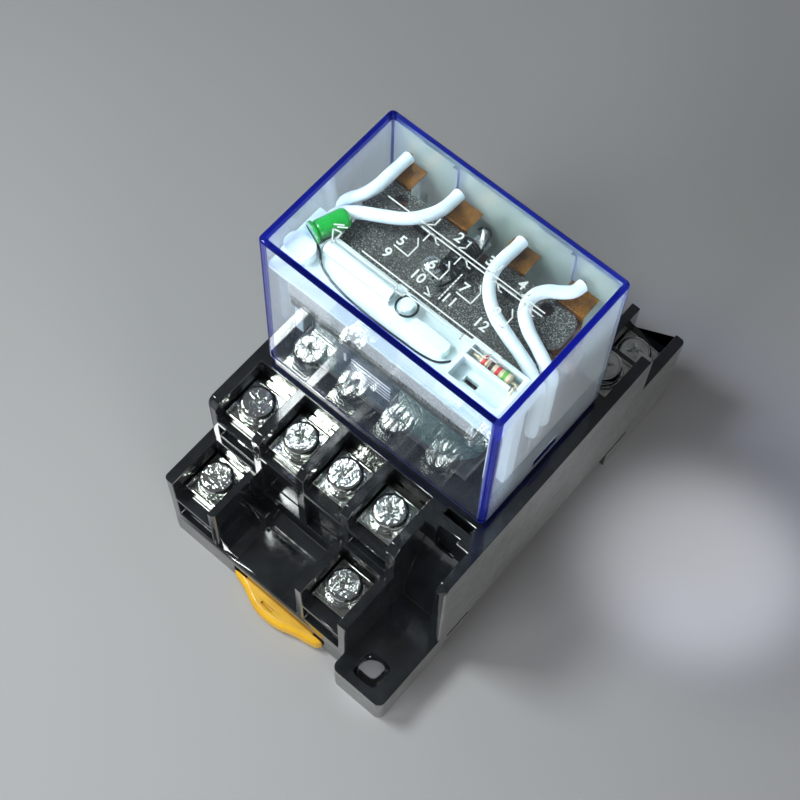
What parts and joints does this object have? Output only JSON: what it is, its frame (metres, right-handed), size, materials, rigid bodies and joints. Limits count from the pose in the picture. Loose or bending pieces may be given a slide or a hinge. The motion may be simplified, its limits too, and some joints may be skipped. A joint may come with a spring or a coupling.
{
  "type": "industrial control relay",
  "caption": "Plug-in control relay under a clear cover, seated in a black screw-terminal socket with mounting ears and a yellow rail clip.",
  "frame": {"origin": "centre of the socket's mounting face, in the plane that touches the panel", "axes": "+Z away from the panel, up through the relay; +X across the socket along the row of terminals, with the rail running along X; +Y from the rail clip's end to the opposite end"},
  "size_m": [0.046, 0.0766, 0.067],
  "materials": {
    "socket_plastic": "gloss",
    "base_plastic": "satin",
    "clip_plastic": "satin",
    "nickel": "bright",
    "screw_steel": "bright",
    "clear_cover": "clear polycarbonate",
    "iron": "speckled plate",
    "bobbin_plastic": "matt",
    "copper_wire": "lacquered",
    "tape": "satin",
    "label": "printed",
    "phenolic": "matt",
    "bronze": "satin",
    "silver": "satin",
    "dark_steel": "dark",
    "sleeve": "satin",
    "white_plastic": "satin",
    "led_green": "translucent",
    "resistor_body": "gloss"
  },
  "bodies": {
    "socket": {"socket_body": "socket_plastic", "contact_cover": "socket_plastic", "com_strips": "nickel", "coil_strips": "nickel", "no_strips": "nickel", "nc_strips": "nickel"},
    "rail_clip": {"din_clip": "clip_plastic"},
    "front_upper_row": {"front_upper_screws": "screw_steel", "front_upper_clamps": "nickel"},
    "front_lower_row": {"front_lower_screws": "screw_steel", "front_lower_clamps": "nickel"},
    "back_upper_row": {"back_upper_screws": "screw_steel", "back_upper_clamps": "nickel"},
    "back_lower_row": {"back_lower_screws": "screw_steel", "back_lower_clamps": "nickel"},
    "relay": {"cover": "clear_cover", "relay_base": "base_plastic", "com_blades": "nickel", "coil_blades": "nickel", "no_blades": "nickel", "nc_blades": "nickel", "yoke": "iron", "core": "iron", "bobbin": "bobbin_plastic", "winding": "copper_wire", "coil_tape": "tape", "coil_label": "label", "nc_contacts": "silver", "no_contacts": "silver", "return_spring": "dark_steel", "lead_1": "sleeve", "lead_2": "sleeve", "lead_3": "sleeve", "lead_4": "sleeve", "lamp_holder": "white_plastic", "led": "led_green", "led_sleeve": "sleeve", "resistor": "resistor_body", "lamp_lead": "dark_steel"},
    "armature": {"armature": "iron", "hook_rivet": "screw_steel", "contact_card": "phenolic", "moving_springs": "bronze", "moving_contacts": "silver"}
  },
  "joints": [
    {"name": "relay_pull", "type": "slide", "parent": "socket", "child": "relay", "axis": [0, 0, 1], "range_m": [0, 0.009]},
    {"name": "armature_rock", "type": "hinge", "parent": "relay", "child": "armature", "pos_m": [0, 0.0052, 0.0579], "axis": [1, 0, 0], "range_deg": [0, 3.5], "stiffness_Nm_per_rad": 0.03, "springref_deg": -8.59},
    {"name": "clip_pull", "type": "slide", "parent": "socket", "child": "rail_clip", "axis": [0, -1, 0], "range_m": [0, 0.003], "stiffness_N_per_m": 1500},
    {"name": "front_upper_lift", "type": "slide", "parent": "socket", "child": "front_upper_row", "axis": [0, 0, 1], "range_m": [0, 0.0016]},
    {"name": "front_lower_lift", "type": "slide", "parent": "socket", "child": "front_lower_row", "axis": [0, 0, 1], "range_m": [0, 0.0016]},
    {"name": "back_upper_lift", "type": "slide", "parent": "socket", "child": "back_upper_row", "axis": [0, 0, 1], "range_m": [0, 0.0016]},
    {"name": "back_lower_lift", "type": "slide", "parent": "socket", "child": "back_lower_row", "axis": [0, 0, 1], "range_m": [0, 0.0016]}
  ]
}
